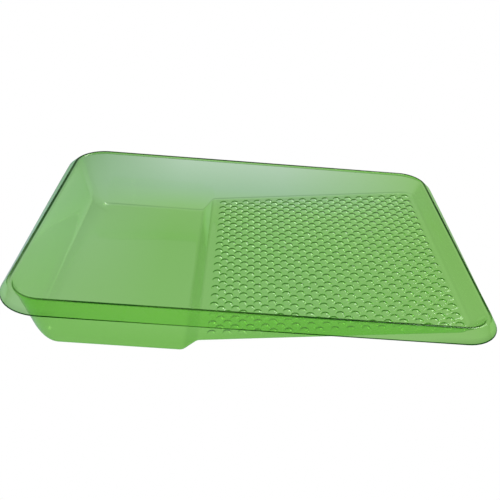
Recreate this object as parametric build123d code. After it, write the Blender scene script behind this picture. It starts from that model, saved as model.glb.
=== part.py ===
from build123d import *
import math
import os

# Paint roller tray liner: one thin thermoformed sheet of clear green plastic.
# Frame: +X runs along the tray towards the high end of the ramp, +Y is its left side, +Z is up,
# and the origin is under the middle of the rim, in the plane of the well's flat underside.
# The sheet is cut into its functional zones, one node each, which meet face to face.

# ---- driving dimensions (millimetres, degrees) ----
SHEET = 0.8               # wall thickness of the formed sheet

RIM_LENGTH = 360.0        # crest to crest, along X
RIM_WIDTH = 263.4         # crest to crest, along Y
RIM_TOP = 54.2            # height of the crest above the surface the tray rests on
WELL_RIM_CORNER = 28.0    # plan radius of the crest at the well's corners
RAMP_RIM_CORNER = 22.0    # and at the ramp's
RIM_HEIGHT = 4.2          # the rim's own profile covers this much of the wall
CREST_BEND = 2.6          # outer radius of the bend over the crest
RIM_DRAFT = 20.0          # lean of the rim's inner face from vertical
SKIRT_ANGLE = 57.0        # the skirt's slope below horizontal
SKIRT_REACH = 7.8         # how far the skirt's free edge stands outside the crest

WELL_START = -163.0       # foot of the well's end wall
RISER_FOOT = -49.0        # foot of the step up to the ramp
RISER_HEAD = -38.5        # top of that step
RISER_HEIGHT = 13.0       # height of the ramp's lowest edge
RAMP_END = 170.0          # foot of the ramp's end wall
RAMP_SLOPE = 7.0
WELL_HALF_WIDTH = 114.5   # at the well floor
RAMP_HALF_WIDTH = 117.0   # along the whole ramp

WELL_FILLET = 6.0         # outer radius where the well's floor turns up into its walls
RAMP_FILLET = 4.0         # the same round the ramp
WELL_CORNER = 18.0        # plan radius of the well floor's outer corners
RAMP_CORNER = 12.0        # plan radius of the ramp's upper corners
WELL_DRAFT = 18.0         # mean lean of the well's walls from vertical
RAMP_DRAFT = 25.0         # mean lean of the ramp's walls

DOME_PITCH = 12.0         # along the ramp and across it; the rows between are shifted by half
DOME_ROWS = 19            # full rows across the ramp
DOME_COLUMNS = 17         # full columns along the ramp
DOME_RADIUS = 3.8         # radius of a dome's foot
DOME_HEIGHT = 1.8
FIRST_DOME = 10.7         # from the top of the step to the first column, along the ramp

WELL_PANEL_HALF = 108.0   # the flat panels are cut free of the walls along these lines
RAMP_PANEL_HALF = 113.4
WELL_MARGIN = 14.0        # from the foot of the well's end wall to the floor panel's cut
RAMP_MARGIN = 2.5         # the same at the ramp's end wall
STEP_MARGIN = 7.5         # from the foot or top of the step to its cuts
FORM_LAP = 12.0           # how far the ramp's form reaches back over the well's

# ---- values that follow from them ----
SLOPE = math.radians(RAMP_SLOPE)
DRAFT = math.radians(RIM_DRAFT)
SKIRT = math.radians(SKIRT_ANGLE)
WALL_TOP = RIM_TOP - RIM_HEIGHT
BEND_START = RIM_TOP - CREST_BEND * (1 - math.sin(DRAFT))
RIM_INSET = CREST_BEND * math.cos(DRAFT) + (BEND_START - WALL_TOP) * math.tan(DRAFT)
OUTER_INSET = RIM_INSET - SHEET / math.cos(DRAFT)   # crest line to the wall's outer face
WELL_CORNER_X = WELL_RIM_CORNER - RIM_LENGTH / 2    # centres of the crest's corners
WELL_CORNER_Y = RIM_WIDTH / 2 - WELL_RIM_CORNER
RAMP_CORNER_X = RIM_LENGTH / 2 - RAMP_RIM_CORNER
RAMP_CORNER_Y = RIM_WIDTH / 2 - RAMP_RIM_CORNER
BIG = 400.0


def rounded_panel(square_end, round_end, half_width, radius):
    """A flat rectangle along X between two ends, the corners rounded at the second one."""
    outline = Polyline((square_end, -half_width), (round_end, -half_width),
                       (round_end, half_width), (square_end, half_width), close=True)
    face = make_face(outline)
    return fillet([v for v in face.vertices() if math.isclose(v.X, round_end)], radius)


def well_form(inset):
    """Fills the tub over the well: its outside at inset 0, its hollow at inset of one sheet."""
    lean = math.radians(WELL_DRAFT)
    side = inset / math.cos(lean)
    bottom = side - inset * math.tan(lean)
    run = (RISER_HEAD - RISER_FOOT) / RISER_HEIGHT
    step_shift = inset * math.hypot(1, run)
    top_length = RIM_LENGTH / 2 - OUTER_INSET - side
    top_width = RIM_WIDTH / 2 - OUTER_INSET - side
    top_corner = WELL_RIM_CORNER - OUTER_INSET - side
    floor = rounded_panel(RISER_FOOT + run * inset - step_shift, WELL_START + bottom,
                          WELL_HALF_WIDTH - bottom, WELL_CORNER - side)
    top = rounded_panel(RISER_FOOT + run * WALL_TOP - step_shift, -top_length,
                        top_width, top_corner)
    form = loft([Plane.XY.offset(inset) * floor, Plane.XY.offset(WALL_TOP) * top], ruled=True)
    floor_edges = form.faces().sort_by(Axis.Z)[0].edges()
    return fillet(floor_edges.filter_by(lambda e: e.center().X < RISER_FOOT - 1),
                  WELL_FILLET - inset)


def ramp_plane(inset):
    """The ramp's plane, its origin at the top of the step, moved upwards by inset."""
    normal = (-math.sin(SLOPE), 0, math.cos(SLOPE))
    along = (math.cos(SLOPE), 0, math.sin(SLOPE))
    return Plane(origin=(RISER_HEAD, 0, RISER_HEIGHT), x_dir=along, z_dir=normal).offset(inset)


def ramp_form(inset):
    """Fills the tub over the ramp, in the same two versions."""
    lean = math.radians(RAMP_DRAFT)
    side = inset / math.cos(lean)
    bottom = side - inset * math.tan(lean)
    top_length = RIM_LENGTH / 2 - OUTER_INSET - side
    top_width = RIM_WIDTH / 2 - OUTER_INSET - side
    top_corner = RAMP_RIM_CORNER - OUTER_INSET - side
    length = (RAMP_END - RISER_HEAD) / math.cos(SLOPE)
    floor = rounded_panel(0, length - bottom, RAMP_HALF_WIDTH - bottom, RAMP_CORNER - side)
    top = rounded_panel(RISER_HEAD - FORM_LAP, top_length, top_width, top_corner)
    form = loft([ramp_plane(inset) * floor, Plane.XY.offset(WALL_TOP) * top], ruled=True)
    floor_edges = form.faces().sort_by(Axis.Z)[0].edges()
    return fillet(floor_edges.filter_by(lambda e: e.center().X > RISER_HEAD + 1),
                  RAMP_FILLET - inset)


def tub():
    """The tub's sheet, from the floor up to the rim's lower edge."""
    outside = well_form(0) + ramp_form(0)
    hollow = well_form(SHEET) + ramp_form(SHEET)
    return outside - hollow


def block(low, high):
    """A box between two corners."""
    size = [b - a for a, b in zip(low, high)]
    middle = [(a + b) / 2 for a, b in zip(low, high)]
    return Pos(*middle) * Box(*size)


def dome_centres():
    """Places of the domes along and across the ramp, row by row and staggered."""
    half = DOME_PITCH / 2
    edge = (DOME_ROWS - 1) * half
    for column in range(2 * DOME_COLUMNS - 1):
        for row in range(2 * DOME_ROWS - 1):
            if (column + row) % 2 == 0:
                yield FIRST_DOME + column * half, edge - row * half


def dome(inset):
    """A round cap standing on the ramp's plane, its face moved inwards by inset."""
    radius = (DOME_RADIUS ** 2 + DOME_HEIGHT ** 2) / (2 * DOME_HEIGHT)
    ball = Pos(0, 0, DOME_HEIGHT - radius) * Sphere(radius - inset)
    above = block((-DOME_PITCH, -DOME_PITCH, -inset), (DOME_PITCH, DOME_PITCH, DOME_PITCH))
    return ball & above


def embossed(panel):
    """The ramp's panel with its domes pressed up from below."""
    top = ramp_plane(SHEET)
    cap = dome(0)
    hollow = dome(SHEET)
    caps = [top * Pos(x, y, 0) * cap for x, y in dome_centres()]
    hollows = [top * Pos(x, y, 0) * hollow for x, y in dome_centres()]
    return panel.fuse(*caps).cut(*hollows)


def tub_zones():
    """The tub's sheet cut into its floor, step, ramp and walls."""
    sheet = tub()
    well_start = WELL_START + WELL_MARGIN
    well_cut = RISER_FOOT - STEP_MARGIN
    ramp_cut = RISER_HEAD + STEP_MARGIN
    ramp_end = RAMP_END - RAMP_MARGIN
    areas = {
        "well_floor": block((well_start, -WELL_PANEL_HALF, -1),
                            (well_cut, WELL_PANEL_HALF, BIG)),
        "riser_step": block((well_cut, -WELL_PANEL_HALF, -1),
                            (ramp_cut, WELL_PANEL_HALF, BIG)),
        "ramp_panel": block((ramp_cut, -RAMP_PANEL_HALF, -1),
                            (ramp_end, RAMP_PANEL_HALF, BIG)),
    }
    zones = {name: sheet & area for name, area in areas.items()}
    walls = sheet - list(areas.values())
    wall_areas = {
        "well_end_wall": ((-BIG, -BIG), (well_start, BIG)),
        "well_side_wall_right": ((well_start, -BIG), (ramp_cut, 0)),
        "well_side_wall_left": ((well_start, 0), (ramp_cut, BIG)),
        "ramp_side_wall_right": ((ramp_cut, -BIG), (RAMP_CORNER_X, 0)),
        "ramp_side_wall_left": ((ramp_cut, 0), (RAMP_CORNER_X, BIG)),
        "ramp_end_wall": ((RAMP_CORNER_X, -BIG), (BIG, BIG)),
    }
    for name, (low, high) in wall_areas.items():
        zones[name] = walls & block((*low, -1), (*high, BIG))
    zones["ramp_panel"] = embossed(zones["ramp_panel"])
    return zones


def rim_profiles():
    """Sections through the rim, X outwards from the crest line: the bend, then the skirt."""
    centre = RIM_TOP - CREST_BEND
    start_angle = DRAFT - math.pi / 2

    def bend_point(radius, angle):
        return (radius * math.sin(angle), centre + radius * math.cos(angle))

    top_start = bend_point(CREST_BEND, start_angle)
    top_end = bend_point(CREST_BEND, SKIRT)
    under_start = bend_point(CREST_BEND - SHEET, start_angle)
    under_end = bend_point(CREST_BEND - SHEET, SKIRT)
    crest = [
        Line((-RIM_INSET, WALL_TOP), top_start),
        ThreePointArc(top_start, bend_point(CREST_BEND, 0), top_end),
        Line(top_end, under_end),
        ThreePointArc(under_end, bend_point(CREST_BEND - SHEET, 0), under_start),
        Line(under_start, (-OUTER_INSET, WALL_TOP)),
        Line((-OUTER_INSET, WALL_TOP), (-RIM_INSET, WALL_TOP)),
    ]
    run = SKIRT_REACH - top_end[0]
    drop = run * math.tan(SKIRT)
    skirt = Polyline(top_end, (top_end[0] + run, top_end[1] - drop),
                     (under_end[0] + run, under_end[1] - drop), under_end, close=True)
    return {"crest": make_face(Wire(crest)), "skirt": make_face(skirt)}


def rim_zones():
    """The bend and the skirt, each as four straight runs and four quarter turns."""
    half_length, half_width = RIM_LENGTH / 2, RIM_WIDTH / 2
    half_side = (RAMP_CORNER_X - WELL_CORNER_X) / 2
    middle = (RAMP_CORNER_X + WELL_CORNER_X) / 2
    runs = {
        "ramp_end": (0, 0, half_length, RAMP_CORNER_Y),
        "side_left": (90, middle, half_width, half_side),
        "well_end": (180, 0, half_length, WELL_CORNER_Y),
        "side_right": (270, middle, half_width, half_side),
    }
    corners = {
        "corner_ramp_left": (0, RAMP_CORNER_X, RAMP_CORNER_Y, RAMP_RIM_CORNER),
        "corner_well_left": (90, WELL_CORNER_X, WELL_CORNER_Y, WELL_RIM_CORNER),
        "corner_well_right": (180, WELL_CORNER_X, -WELL_CORNER_Y, WELL_RIM_CORNER),
        "corner_ramp_right": (270, RAMP_CORNER_X, -RAMP_CORNER_Y, RAMP_RIM_CORNER),
    }
    zones = {}
    for part, profile in rim_profiles().items():
        for place, (turn, x, reach, half_run) in runs.items():
            run = extrude(Plane.XZ * Pos(reach, 0) * profile, half_run, both=True)
            zones[f"{part}_{place}"] = Pos(x, 0, 0) * Rot(0, 0, turn) * run
        for place, (turn, x, y, radius) in corners.items():
            bend = revolve(Plane.XZ * Pos(radius, 0) * profile, Axis.Z, 90)
            zones[f"{part}_{place}"] = Pos(x, y, 0) * Rot(0, 0, turn) * bend
    return zones


os.makedirs("parts", exist_ok=True)
for name, zone in {**tub_zones(), **rim_zones()}.items():
    zone.label = name
    export_step(zone, f"parts/{name}.step")
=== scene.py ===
import math

import bmesh
import bpy
from mathutils import Matrix, Vector
from mathutils.geometry import delaunay_2d_cdt


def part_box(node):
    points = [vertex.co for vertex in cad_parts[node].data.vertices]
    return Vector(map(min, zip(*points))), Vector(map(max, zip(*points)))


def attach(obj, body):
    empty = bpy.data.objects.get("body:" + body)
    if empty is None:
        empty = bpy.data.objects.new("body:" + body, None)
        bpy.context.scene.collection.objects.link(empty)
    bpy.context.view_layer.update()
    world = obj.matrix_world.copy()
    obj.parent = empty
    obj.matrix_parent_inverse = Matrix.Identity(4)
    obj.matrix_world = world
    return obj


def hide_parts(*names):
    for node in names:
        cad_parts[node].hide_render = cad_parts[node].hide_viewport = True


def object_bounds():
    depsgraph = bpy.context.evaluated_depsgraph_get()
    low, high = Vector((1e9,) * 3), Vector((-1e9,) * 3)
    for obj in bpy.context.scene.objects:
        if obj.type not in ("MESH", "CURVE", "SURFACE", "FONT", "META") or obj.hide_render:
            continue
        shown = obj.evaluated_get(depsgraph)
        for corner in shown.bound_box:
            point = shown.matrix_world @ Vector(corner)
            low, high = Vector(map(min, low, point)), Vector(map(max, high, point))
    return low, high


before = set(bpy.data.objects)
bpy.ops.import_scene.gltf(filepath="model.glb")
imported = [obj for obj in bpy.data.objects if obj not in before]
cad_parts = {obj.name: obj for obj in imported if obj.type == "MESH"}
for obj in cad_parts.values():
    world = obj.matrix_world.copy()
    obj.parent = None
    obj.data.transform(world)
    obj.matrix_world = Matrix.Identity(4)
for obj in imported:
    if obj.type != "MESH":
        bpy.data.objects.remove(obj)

# A clear green paint roller tray liner: one formed sheet, built here as one smooth skin
# with a real thickness. Metres, in the frame's own axes: +X up the ramp, +Z up.

MM = 0.001
CAD_LOW, CAD_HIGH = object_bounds()

# ---- driving dimensions ----
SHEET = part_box("well_floor")[1].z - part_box("well_floor")[0].z
SKIRT_REACH = 7.8 * MM            # the skirt's free edge stands this far outside the crest
SKIRT_ANGLE = math.radians(57)    # below horizontal, along the tray's right side
FLARED_ANGLE = math.radians(40)   # its left side has sprung out a little
CREST_BEND = 2.6 * MM             # radius of the sheet's upper face over the crest
HALF_LENGTH = CAD_HIGH.x - SKIRT_REACH
HALF_WIDTH = CAD_HIGH.y - SKIRT_REACH
RIM_TOP = CAD_HIGH.z
WELL_RIM_CORNER = HALF_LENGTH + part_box("skirt_corner_well_left")[1].x
RAMP_RIM_CORNER = HALF_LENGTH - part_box("skirt_corner_ramp_left")[0].x

WELL_START = -163 * MM
RISER_FOOT = -49 * MM
RISER_HEAD = -38.5 * MM
RISER_HEIGHT = 13 * MM
RAMP_END = 170 * MM
RAMP_SLOPE = math.radians(7)
WELL_HALF_WIDTH = 114.5 * MM
RAMP_HALF_WIDTH = 117 * MM
WELL_CORNER = 18 * MM
RAMP_CORNER = 12 * MM

SIDE_FILLET = 3.6 * MM            # how far the rounding of a side wall's foot reaches each way
WELL_END_FILLET = 15 * MM         # the same at the well's end, over the floor
WELL_END_SWEEP = 20 * MM          # and up the wall
RAMP_FLAT = 2 * MM                # the same beside the ramp and at its end, over the ramp
RAMP_END_SWEEP = 9 * MM           # and up its end wall
RISER_BEND = 6 * MM               # radius of the bends at the top and foot of the step

DOME_PITCH = 12 * MM
DOME_ROWS, DOME_COLUMNS = 19, 17
DOME_RADIUS = 3.8 * MM
DOME_HEIGHT = 1.8 * MM
FIRST_DOME = 10.7 * MM            # from the top of the step, along the ramp
DOME_SIDES = 12
DOME_RINGS = (1.065, 0.99, 0.9, 0.72, 0.4)   # in dome radii; the first lies in the ramp's plane
DOME_LIP = 0.1 * MM               # height of the second ring, which rounds the foot softly
DOME_PAINTED_SHADE = 0.07                  # how much painted shade a dome's steep margin gets

END_STEPS, CORNER_STEPS, SIDE_STEPS, RISER_STEPS = 6, 14, 12, 8
FOOT_STEPS, WALL_STEPS, CREST_STEPS = 11, 6, 12
# Painted shade: a dark line painted into the sheet's colour over the crest's bend.
CREST_DARK = (0.57, 0.68)         # where the bend is darkest, on the tray's right and left
CREST_SPREAD = (0.2, 0.34)        # and how widely, both in turns of the bend
CREST_FADE = 1.6                  # how steeply that dark line fades at its margins
PLAIN_SECTIONS = 3                # the crest has no dark line this near the right corners,
SOFT_SECTIONS = 5                 # and it returns over so many more
FOOT_PAINTED_SHADE = 0.28                  # how much painted shade the tight bend at the foot of the side walls gets
# The skirt's cut edge gets painted shade, darker near the tray's right corners.
DARK_CORNER_X = (120 * MM, 160 * MM)   # the skirt's edge gets darker between these distances
DARK_CORNER_Y = (80 * MM, 120 * MM)    # from the tray's middle, along it and to its right,
EDGE_EXTRA, MARGIN_DARK = 2, 0.25      # by so much at the edge and at its margin
SHARP_ANGLE = math.radians(60)    # only the skirt's cut edge is sharper than this
SKIRT_POINTS = (0.5, 0.91, 0.955, 1)   # shares of the way down the skirt; the last is its edge


# ---- the floor's side profile ----

def crossing(a, b):
    """Where two lines in a plane, each a point and a direction, cross."""
    (p, d), (q, e) = a, b
    t = ((q.x - p.x) * e.y - (q.y - p.y) * e.x) / (d.x * e.y - d.y * e.x)
    return p + t * d


def rounded_corner(before, corner, after, radius, steps):
    """Points of the arc that rounds a corner between two straight runs."""
    back, on = (before - corner).normalized(), (after - corner).normalized()
    half = back.angle(on) / 2
    reach = radius / math.tan(half)
    centre = corner + (back + on).normalized() * radius / math.sin(half)
    start, end = corner + back * reach - centre, corner + on * reach - centre
    sweep = start.angle_signed(end)
    return [centre + Matrix.Rotation(-sweep * i / steps, 2) @ start for i in range(steps + 1)]


def upper_profile():
    """Corners (x, z) of the upper face of floor, step and ramp, seen from the side."""
    along = Vector((math.cos(RAMP_SLOPE), math.sin(RAMP_SLOPE)))
    up = Vector((-along.y, along.x))
    step = Vector((RISER_HEAD - RISER_FOOT, RISER_HEIGHT)).normalized()
    step_up = Vector((-step.y, step.x))
    floor = (Vector((0, SHEET)), Vector((1, 0)))
    riser = (Vector((RISER_FOOT, 0)) + step_up * SHEET, step)
    ramp = (Vector((RISER_HEAD, RISER_HEIGHT)) + up * SHEET, along)
    return crossing(floor, riser), crossing(riser, ramp), ramp


FOOT, HEAD, (RAMP_ORIGIN, RAMP_ALONG) = upper_profile()


def ramp_height(x):
    """Height of the ramp's upper face."""
    return RAMP_ORIGIN.y + (x - RAMP_ORIGIN.x) * RAMP_ALONG.y / RAMP_ALONG.x


RISER_PATH = (rounded_corner(Vector((WELL_START, SHEET)), FOOT, HEAD, RISER_BEND, RISER_STEPS)
              + rounded_corner(FOOT, HEAD, Vector((RAMP_END, ramp_height(RAMP_END))),
                               RISER_BEND, RISER_STEPS))


# ---- values between two others ----

def smooth(t):
    """A share clamped to 0 and 1, with soft starts and ends."""
    t = min(max(t, 0.0), 1.0)
    return t * t * (3 - 2 * t)


def between(a, b, t):
    return a + (b - a) * t


def rising(value, low, high):
    """From 0 at low to 1 at high, smoothly."""
    return smooth((value - low) / (high - low))


# ---- the sheet's upper face, as sections round the tray ----

def rounding(start, corner, end, steps):
    """Points of a conic arc that rounds the corner, a circle's arc where both reaches agree."""
    weight = math.cos((corner - start).angle(end - corner) / 2)
    points = []
    for i in range(steps + 1):
        t = i / steps
        a, b, c = (1 - t) ** 2, 2 * weight * t * (1 - t), t ** 2
        points.append((start * a + corner * b + end * c) / (a + b + c))
    return points


def left_share(y):
    """From 0 at the tray's right side to 1 at its left."""
    return smooth((1 + y / HALF_WIDTH) / 2)


def section(inner, foot, crest, out, sweep):
    """Points from the floor's edge up the wall, over the crest and down the skirt.

    Narrow last steps keep the painted shade of the skirt's cut edge to its margin."""
    bend_z = RIM_TOP - CREST_BEND
    skirt = between(SKIRT_ANGLE, FLARED_ANGLE, left_share(crest.y))

    def over(angle):
        flat = crest + out * CREST_BEND * math.sin(angle)
        return Vector((flat.x, flat.y, bend_z + CREST_BEND * math.cos(angle)))

    away, drop = (crest - foot.xy).dot(out), foot.z - bend_z
    lean = math.atan2(drop, away) + math.acos(CREST_BEND / math.hypot(away, drop))
    start_angle = lean - math.pi / 2
    top = over(start_angle)
    wall = math.hypot(away - CREST_BEND * math.cos(lean), top.z - foot.z)
    end = foot + (top - foot) * sweep / wall
    points = rounding(inner, foot, end, FOOT_STEPS)
    points += [end.lerp(top, i / WALL_STEPS) for i in range(1, WALL_STEPS)]
    points += [over(between(start_angle, skirt, i / CREST_STEPS))
               for i in range(CREST_STEPS + 1)]
    run = SKIRT_REACH - CREST_BEND * math.sin(skirt)
    slope = Vector((out.x, out.y, -math.tan(skirt))) * run
    points += [over(skirt) + slope * share for share in SKIRT_POINTS]
    return points


def well_end_sections():
    """From the middle of the well's end wall to its left corner."""
    half = WELL_HALF_WIDTH - WELL_CORNER
    for i in range(END_STEPS):
        y = half * i / END_STEPS
        foot = Vector((WELL_START, y, SHEET))
        crest = Vector((-HALF_LENGTH, y * (HALF_WIDTH - WELL_RIM_CORNER) / half))
        inner = foot + Vector((WELL_END_FILLET, 0, 0))
        yield inner, foot, crest, Vector((-1, 0)), WELL_END_SWEEP


def well_corner_sections():
    """Round the left corner by the well."""
    centre = Vector((WELL_START + WELL_CORNER, WELL_HALF_WIDTH - WELL_CORNER))
    rim_centre = Vector((WELL_RIM_CORNER - HALF_LENGTH, HALF_WIDTH - WELL_RIM_CORNER))
    for i in range(CORNER_STEPS):
        angle = math.pi / 2 * i / CORNER_STEPS
        out = Vector((-math.cos(angle), math.sin(angle)))
        turn = smooth(i / CORNER_STEPS)
        fillet = between(WELL_END_FILLET, SIDE_FILLET, turn)
        sweep = between(WELL_END_SWEEP, SIDE_FILLET, turn)
        foot = (centre + out * WELL_CORNER).to_3d() + Vector((0, 0, SHEET))
        inner = foot - out.to_3d() * fillet
        yield inner, foot, rim_centre + out * WELL_RIM_CORNER, out, sweep


def side_section(x, z):
    """What section() needs beside the floor's profile point (x, z)."""
    step = smooth((x - FOOT.x) / (HEAD.x - FOOT.x))
    foot = Vector((x, between(WELL_HALF_WIDTH, RAMP_HALF_WIDTH, step), z))
    start, end = WELL_START + WELL_CORNER, RAMP_END - RAMP_CORNER
    crest_x = between(WELL_RIM_CORNER - HALF_LENGTH, HALF_LENGTH - RAMP_RIM_CORNER,
                      (x - start) / (end - start))
    inner = foot - Vector((0, between(SIDE_FILLET, RAMP_FLAT, step), 0))
    return inner, foot, Vector((crest_x, HALF_WIDTH)), Vector((0, 1)), SIDE_FILLET


def ramp_corner_sections():
    """Round the left corner at the ramp's high end."""
    centre = Vector((RAMP_END - RAMP_CORNER, RAMP_HALF_WIDTH - RAMP_CORNER))
    rim_centre = Vector((HALF_LENGTH - RAMP_RIM_CORNER, HALF_WIDTH - RAMP_RIM_CORNER))
    for i in range(CORNER_STEPS):
        angle = math.pi / 2 * i / CORNER_STEPS
        out = Vector((math.sin(angle), math.cos(angle)))
        foot = (centre + out * RAMP_CORNER).to_3d()
        inner = foot - out.to_3d() * RAMP_FLAT
        foot.z, inner.z = ramp_height(foot.x), ramp_height(inner.x)
        sweep = between(SIDE_FILLET, RAMP_END_SWEEP, smooth(i / CORNER_STEPS))
        yield inner, foot, rim_centre + out * RAMP_RIM_CORNER, out, sweep


def ramp_end_sections():
    """From that corner to the middle of the ramp's end wall."""
    half = RAMP_HALF_WIDTH - RAMP_CORNER
    for i in range(END_STEPS + 1):
        y = half * (1 - i / END_STEPS)
        foot = Vector((RAMP_END, y, ramp_height(RAMP_END)))
        crest = Vector((HALF_LENGTH, y * (HALF_WIDTH - RAMP_RIM_CORNER) / half))
        inner = Vector((RAMP_END - RAMP_FLAT, y, ramp_height(RAMP_END - RAMP_FLAT)))
        yield inner, foot, crest, Vector((1, 0)), RAMP_END_SWEEP


def spaced(start, end, steps):
    """Evenly spaced values from the start, without the end."""
    return [between(start, end, i / steps) for i in range(steps)]


def half_ring():
    """Sections from the middle of the well's end wall round the left side to the ramp's end.

    Also gives the places in that list where the step begins and where it ends."""
    before = spaced(WELL_START + WELL_CORNER, RISER_PATH[0].x, SIDE_STEPS // 2)
    after = spaced(RISER_PATH[-1].x, RAMP_END - RAMP_CORNER, SIDE_STEPS)[1:]
    sections = [*well_end_sections(), *well_corner_sections()]
    sections += [side_section(x, SHEET) for x in before]
    step_start = len(sections)
    sections += [side_section(p.x, p.y) for p in RISER_PATH]
    step_end = len(sections) - 1
    sections += [side_section(x, ramp_height(x)) for x in after]
    sections += [*ramp_corner_sections(), *ramp_end_sections()]
    return sections, step_start, step_end


# ---- the ramp's domes ----

def on_ramp(u, y, height=0.0):
    """The point u up the ramp and y across it, a little height above its upper face."""
    up = Vector((-RAMP_ALONG.y, RAMP_ALONG.x))
    p = RAMP_ORIGIN + RAMP_ALONG * u + up * height
    return Vector((p.x, y, p.y))


def dome_centres():
    """Places (u, y) of the domes; the rows between are shifted by half a pitch."""
    half = DOME_PITCH / 2
    edge = (DOME_ROWS - 1) * half
    return [(FIRST_DOME + column * half, edge - row * half)
            for column in range(2 * DOME_COLUMNS - 1)
            for row in range(2 * DOME_ROWS - 1)
            if (column + row) % 2 == 0]


def dome_rings(mesh, centre):
    """Adds one round cap and gives the vertices of its foot."""
    ball = (DOME_RADIUS ** 2 + DOME_HEIGHT ** 2) / (2 * DOME_HEIGHT)
    rings = []
    for number, scale in enumerate(DOME_RINGS):
        radius = DOME_RADIUS * scale
        height = 0.0
        if number:
            height = math.sqrt(ball ** 2 - radius ** 2) - ball + DOME_HEIGHT
        if number == 1:
            height = DOME_LIP
        turns = [2 * math.pi * k / DOME_SIDES for k in range(DOME_SIDES)]
        rings.append([mesh.verts.new(on_ramp(centre[0] + radius * math.cos(a),
                                             centre[1] + radius * math.sin(a), height))
                      for a in turns])
    # A dome's steep margin gets painted shade.
    shade = mesh.verts.layers.float["painted_edge_shade"]
    for vert in rings[1] + rings[2]:
        vert[shade] = DOME_PAINTED_SHADE
    for lower, upper in zip(rings, rings[1:]):
        for k in range(DOME_SIDES):
            n = (k + 1) % DOME_SIDES
            mesh.faces.new((lower[k], lower[n], upper[n], upper[k]))
    top = mesh.verts.new(on_ramp(*centre, DOME_HEIGHT))
    for k in range(DOME_SIDES):
        mesh.faces.new((rings[-1][k], rings[-1][(k + 1) % DOME_SIDES], top))
    return rings[0]


def ramp_surface(mesh, border):
    """Fills the ramp inside a loop of vertices: domes, and flat sheet between them."""
    def flat(v):
        run = Vector((v.co.x, v.co.z)) - RAMP_ORIGIN
        return Vector((run.dot(RAMP_ALONG), v.co.y))

    loops = [border] + [dome_rings(mesh, centre) for centre in dome_centres()]
    verts = [v for loop in loops for v in loop]
    owner = [number for number, loop in enumerate(loops) for v in loop]
    edges = []
    for number, loop in enumerate(loops):
        start = owner.index(number)
        edges += [(start + k, start + (k + 1) % len(loop)) for k in range(len(loop))]
    found = delaunay_2d_cdt([flat(v) for v in verts], edges, [range(len(border))], 1, 1e-7)
    for triangle in found[2]:
        corners = [found[3][k][0] for k in triangle]
        loop = owner[corners[0]]
        under_a_dome = loop > 0 and all(owner[k] == loop for k in corners)
        if not under_a_dome:
            mesh.faces.new([verts[k] for k in corners])


# ---- the whole sheet ----

def mirrored(inner, foot, crest, out, sweep):
    """The same section on the tray's right side."""
    flipped = [Matrix.Diagonal((1, -1, 1)) @ p for p in (inner, foot)]
    flipped += [Matrix.Diagonal((1, -1)) @ p for p in (crest, out)]
    return (*flipped, sweep)


def dark_corner_share(crest):
    """1 at the rim's right corners, where the painted shade on the skirt's edge is darkest, and 0
    far from them.
    """
    return rising(abs(crest.x), *DARK_CORNER_X) * rising(-crest.y, *DARK_CORNER_Y)


def painted_edge_shade(k, place, crest_share):
    """How much painted shade point k of a section gets: where the sheet turns tightly, and at its
    edge.
    """
    _, _, crest, _, sweep = place
    crest_start = FOOT_STEPS + WALL_STEPS
    edge_start = crest_start + CREST_STEPS + len(SKIRT_POINTS) - 1
    # Painted shade along the skirt's cut edge, darker towards the right corners.
    if k >= edge_start - 1:
        dark = dark_corner_share(crest)
        return 1 + EDGE_EXTRA * dark if k >= edge_start else MARGIN_DARK * dark
    # Painted shade at the tight bend at the foot of the walls.
    if k in (FOOT_STEPS // 2, FOOT_STEPS // 2 + 1):
        return FOOT_PAINTED_SHADE * (SIDE_FILLET / sweep) ** 2
    # Painted shade as a dark line over the crest's bend.
    left = left_share(crest.y)
    off = abs((k - crest_start) / CREST_STEPS - between(*CREST_DARK, left))
    near = CREST_FADE * (1 - off / between(*CREST_SPREAD, left))
    return crest_share * min(1.0, max(0.0, near))


def upper_skin():
    """The sheet's upper face, before it gets a thickness."""
    mesh = bmesh.new()
    # Every vertex carries how much painted shade it gets.
    shade = mesh.verts.layers.float.new("painted_edge_shade")
    half, step_start, step_end = half_ring()
    last = len(half) - 1
    ring = half + [mirrored(*place) for place in half[-2:0:-1]]
    rows = [[mesh.verts.new(p) for p in section(*place)] for place in ring]
    to_corner = END_STEPS + CORNER_STEPS // 2
    soft_corners = (last + to_corner, len(ring) - to_corner)
    for number, (row, place) in enumerate(zip(rows, ring)):
        from_corner = min(abs(number - k) for k in soft_corners)
        crest_share = smooth((from_corner - PLAIN_SECTIONS) / SOFT_SECTIONS)
        for k, vert in enumerate(row):
            vert[shade] = painted_edge_shade(k, place, crest_share)
    for a, b in zip(rows, rows[1:] + rows[:1]):
        for k in range(len(a) - 1):
            mesh.faces.new((a[k], b[k], b[k + 1], a[k + 1]))

    inner = [row[0] for row in rows]

    def across(k):
        """The vertex on the other side of the tray from the half ring's vertex k."""
        return inner[(2 * last - k) % len(inner)]

    mesh.faces.new(inner[:step_start + 1] + [across(k) for k in range(step_start, 0, -1)])
    for k in range(step_start, step_end):
        mesh.faces.new((inner[k], inner[k + 1], across(k + 1), across(k)))
    ramp_surface(mesh, inner[step_end:2 * last - step_end + 1])
    bmesh.ops.recalc_face_normals(mesh, faces=mesh.faces)
    mesh.faces.ensure_lookup_table()
    well_floor = max(mesh.faces, key=lambda face: len(face.verts))
    if well_floor.normal.z < 0:
        bmesh.ops.reverse_faces(mesh, faces=mesh.faces)
    return mesh


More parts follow.
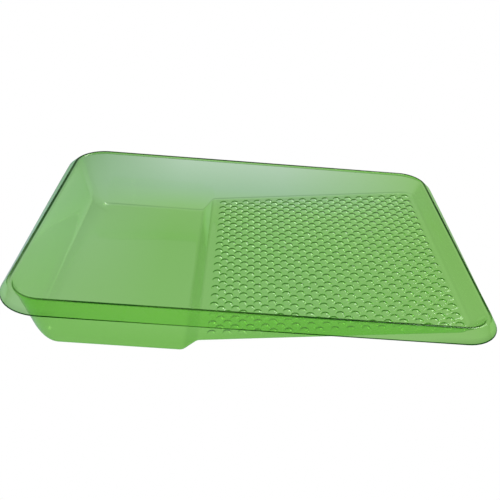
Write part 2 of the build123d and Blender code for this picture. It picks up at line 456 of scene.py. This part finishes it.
def tray_sheet(material):
    """The whole tray as one closed mesh with the sheet's thickness."""
    skin = bpy.data.meshes.new("tray_sheet_skin")
    mesh = upper_skin()
    mesh.to_mesh(skin)
    mesh.free()
    tray = bpy.data.objects.new("tray_sheet", skin)
    bpy.context.scene.collection.objects.link(tray)
    thickness = tray.modifiers.new("thickness", "SOLIDIFY")
    thickness.thickness = SHEET
    thickness.offset = -1
    thickness.use_even_offset = True
    bpy.context.view_layer.update()
    depsgraph = bpy.context.evaluated_depsgraph_get()
    solid = bpy.data.meshes.new_from_object(tray.evaluated_get(depsgraph))
    tray.modifiers.clear()
    tray.data = solid
    solid.name = "tray_sheet"
    solid.polygons.foreach_set("use_smooth", [True] * len(solid.polygons))
    solid.set_sharp_from_angle(angle=SHARP_ANGLE)
    solid.materials.clear()
    solid.materials.append(material)
    return tray


# ---- materials ----

# Painted green shadow of the tray in the floor's glow: under it, and under and past its ramp.
PAINTED_TRAY_SHADOW = (0.35, 0.545, 0.335)
PAINTED_SHADOW_BY_RAMP = (0.38, 0.57, 0.32)
# The dark green of the painted shade on the sheet's bends, cut edge and dome margins.
PAINTED_SHADE_GREEN = (0.002, 0.1, 0.01, 1)


def new_material(name):
    """A material with its nodes, its links and its shader."""
    material = bpy.data.materials.new(name)
    material.use_nodes = True
    nodes = material.node_tree.nodes
    return material, nodes, material.node_tree.links, nodes["Principled BSDF"]


def share_of(nodes, links, value, low, high, least=0.0, kind="LINEAR"):
    """Where a value stands between low and high: from least at low to 1 at high."""
    span = nodes.new("ShaderNodeMapRange")
    span.interpolation_type = kind
    span.inputs["From Min"].default_value = low
    span.inputs["From Max"].default_value = high
    span.inputs["To Min"].default_value = least
    links.new(value, span.inputs["Value"])
    return span.outputs["Result"]


def colour_ramp(nodes, links, value, low, high, stops):
    """A colour that follows a value between low and high through (place, colour) stops."""
    ramp = nodes.new("ShaderNodeValToRGB")
    elements = ramp.color_ramp.elements
    while len(elements) < len(stops):
        elements.new(0.5)
    for element, (place, colour) in zip(elements, stops):
        element.position = place
        element.color = (*colour, 1)
    links.new(share_of(nodes, links, value, low, high), ramp.inputs["Fac"])
    return ramp.outputs["Color"]


def mixed(nodes, links, share, first, second):
    """A colour between the first and the second; each is a link or a plain colour."""
    mix = nodes.new("ShaderNodeMix")
    mix.data_type = "RGBA"
    for socket, value in zip((mix.inputs[0], mix.inputs[6], mix.inputs[7]), (share, first, second)):
        if isinstance(value, bpy.types.NodeSocket):
            links.new(value, socket)
        else:
            socket.default_value = value
    return mix.outputs[2]


def noise(nodes, links, place, scale, detail):
    """Soft random values over the place."""
    texture = nodes.new("ShaderNodeTexNoise")
    texture.inputs["Scale"].default_value = scale
    texture.inputs["Detail"].default_value = detail
    links.new(place, texture.inputs["Vector"])
    return texture.outputs["Fac"]


def grey(*stops):
    """Stops for colour_ramp() from (place, level) pairs."""
    return [(place, (level,) * 3) for place, level in stops]


def clear_green():
    """Clear green plastic: its tint is in its thickness, and painted shade darkens its bent edges,
    its cut edge and the domes' margins.
    """
    material, nodes, links, shader = new_material("clear_green_sheet")
    shader.inputs["Transmission Weight"].default_value = 1
    shader.inputs["IOR"].default_value = 1.5
    shader.inputs["Roughness"].default_value = 0.05
    place = nodes.new("ShaderNodeTexCoord")
    # Patches that make the painted shade uneven.
    patches = noise(nodes, links, place.outputs["Object"], scale=14, detail=2)
    uneven = share_of(nodes, links, patches, 0.35, 0.55, least=0.65)
    # How much painted shade each place gets.
    edge = nodes.new("ShaderNodeAttribute")
    edge.attribute_name = "painted_edge_shade"
    painted_shade_share = nodes.new("ShaderNodeMath")
    painted_shade_share.operation = "MULTIPLY"
    links.new(edge.outputs["Fac"], painted_shade_share.inputs[0])
    links.new(uneven, painted_shade_share.inputs[1])
    # Painted shade darkens the sheet's colour and its specular tint towards the dark green.
    shaded_colour = mixed(nodes, links, painted_shade_share.outputs[0], (1, 1, 1, 1), PAINTED_SHADE_GREEN)
    links.new(shaded_colour, shader.inputs["Base Color"])
    links.new(shaded_colour, shader.inputs["Specular Tint"])
    waves = noise(nodes, links, place.outputs["Object"], scale=28, detail=1)
    bump = nodes.new("ShaderNodeBump")
    bump.inputs["Strength"].default_value = 0.25
    bump.inputs["Distance"].default_value = 0.4 * MM
    links.new(waves, bump.inputs["Height"])
    links.new(bump.outputs["Normal"], shader.inputs["Normal"])
    tint = nodes.new("ShaderNodeVolumeAbsorption")
    tint.inputs["Color"].default_value = (0.628, 0.947, 0.235, 1)
    tint.inputs["Density"].default_value = 1200
    links.new(tint.outputs["Volume"], nodes["Material Output"].inputs["Volume"])
    return material


def white_to_camera(nodes, links, other, output):
    """A pure white backdrop where the camera sees it bare; the tray sees the other shader."""
    path = nodes.new("ShaderNodeLightPath")
    white = nodes.new("ShaderNodeEmission")
    choice = nodes.new("ShaderNodeMixShader")
    links.new(path.outputs["Is Camera Ray"], choice.inputs["Fac"])
    links.new(other.outputs[0], choice.inputs[1])
    links.new(white.outputs[0], choice.inputs[2])
    links.new(choice.outputs[0], output.inputs["Surface"])


def pale_floor():
    """White where the camera sees it bare; the tray sees a glow that changes along and across.

    Its glow paints light and shade: a green painted shadow under the tray, bluer beside its well,
    pale behind it and white before its ramp."""
    material, nodes, links, _ = new_material("pale_floor")
    place = nodes.new("ShaderNodeNewGeometry")
    split = nodes.new("ShaderNodeSeparateXYZ")
    links.new(place.outputs["Position"], split.inputs[0])
    x, y = split.outputs["X"], split.outputs["Y"]
    middle = colour_ramp(nodes, links, y, -0.15, 0.65,
                         ((0, (1.15, 1.2, 1.15)), (0.035, (0.44, 0.57, 0.46)), (0.12, PAINTED_TRAY_SHADOW),
                          (0.26, PAINTED_TRAY_SHADOW), (0.34, (0.40, 0.57, 0.42)),
                          (0.40, (0.49, 0.58, 0.72)), (0.49, (0.66, 0.68, 0.98)),
                          (0.75, (0.5, 0.5, 0.5)), (1, (0.04, 0.05, 0.04))))
    beside = colour_ramp(nodes, links, y, -0.14, 0.25,
                         ((0, (0.33, 0.46, 0.34)), (0.08, (0.46, 0.575, 0.56)),
                          (0.25, (0.42, 0.555, 0.50)),
                          (0.5, (0.46, 0.58, 0.62)), (1, (0.34, 0.46, 0.46))))
    beyond = colour_ramp(nodes, links, y, -0.15, 0.05,
                         ((0, (1.7, 1.7, 1.6)), (0.2, PAINTED_SHADOW_BY_RAMP), (1, PAINTED_SHADOW_BY_RAMP)))
    by_the_well = share_of(nodes, links, x, -0.08, -0.2)
    by_the_ramp = share_of(nodes, links, x, 0.04, 0.24)
    colour = mixed(nodes, links, by_the_well, middle, beside)
    glow = nodes.new("ShaderNodeEmission")
    links.new(mixed(nodes, links, by_the_ramp, colour, beyond), glow.inputs["Color"])
    white_to_camera(nodes, links, glow, nodes["Material Output"])
    return material


# ---- the stage ----

def floor_plane():
    """Just below the tray, so that the two faces don't coincide."""
    bpy.ops.mesh.primitive_plane_add(size=8, location=(0, 0, -0.3 * MM))
    plane = bpy.context.object
    plane.name = "floor"
    plane.data.materials.append(pale_floor())


def soft_box(name, place, target, size, power):
    """A rectangular light that faces the target."""
    light = bpy.data.lights.new(name, "AREA")
    light.shape = "RECTANGLE"
    light.size, light.size_y = size
    light.energy = power
    lamp = bpy.data.objects.new(name, light)
    bpy.context.scene.collection.objects.link(lamp)
    lamp.location = place
    lamp.rotation_euler = (Vector(target) - Vector(place)).to_track_quat("-Z", "Y").to_euler()


def studio():
    """A dim room with a dark horizon behind the tray, and a window high up there on the right."""
    world = bpy.data.worlds.new("studio")
    bpy.context.scene.world = world
    world.use_nodes = True
    nodes, links = world.node_tree.nodes, world.node_tree.links
    room = nodes["Background"]
    direction = nodes.new("ShaderNodeTexCoord")
    split = nodes.new("ShaderNodeSeparateXYZ")
    links.new(direction.outputs["Generated"], split.inputs[0])
    behind, to_the_ramp = [share_of(nodes, links, split.outputs[axis], -0.3, 0.3,
                                    kind="SMOOTHSTEP") for axis in "YX"]

    def half_room(low, haze):
        """One end of the room: low light round the camera, and haze high up across from it."""
        near = colour_ramp(nodes, links, split.outputs["Z"], 0, 1,
                           ((0, low), (0.25, low), *grey((0.5, 0.2), (1, 0.15))))
        far = colour_ramp(nodes, links, split.outputs["Z"], 0, 1,
                          grey((0, 0.03), (0.3, 0.2 * haze), (0.5, 0.4 * haze),
                               (0.7, 0.3 * haze), (1, 0.15)))
        return mixed(nodes, links, behind, near, far)

    well_end = half_room(low=(0.32, 0.36, 0.5), haze=0.7)
    ramp_end = half_room(low=(0.2, 0.25, 0.24), haze=0.4)
    links.new(mixed(nodes, links, to_the_ramp, well_end, ramp_end), room.inputs["Color"])
    white_to_camera(nodes, links, room, nodes["World Output"])
    soft_box("window", (0.69, 0.585, 1.2), (0, 0, 0), (0.8, 0.8), 5)
    soft_box("window_heart", (0.64, 0.54, 1.11), (0, 0, 0), (0.3, 0.3), 1.2)
    bpy.context.scene.view_settings.view_transform = "Standard"


def camera():
    """Stands in front of the tray's right side, a little towards its well, and looks down."""
    lens = bpy.data.cameras.new("camera")
    lens.sensor_width = 36
    lens.lens = 47.18
    lens.shift_x = -0.0037
    lens.shift_y = -0.0611
    eye = bpy.data.objects.new("camera", lens)
    bpy.context.scene.collection.objects.link(eye)
    turn = Matrix.Rotation(math.radians(-2.3), 4, "Z")
    tilt = Matrix.Rotation(math.radians(90 - 29.13), 4, "X")
    roll = Matrix.Rotation(math.radians(5.26), 4, "Z")
    eye.matrix_world = Matrix.Translation((-0.0209, -0.5097, 0.3419)) @ turn @ tilt @ roll
    bpy.context.scene.camera = eye


tray = tray_sheet(clear_green())
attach(tray, "root")
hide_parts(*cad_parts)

floor_plane()
studio()
camera()
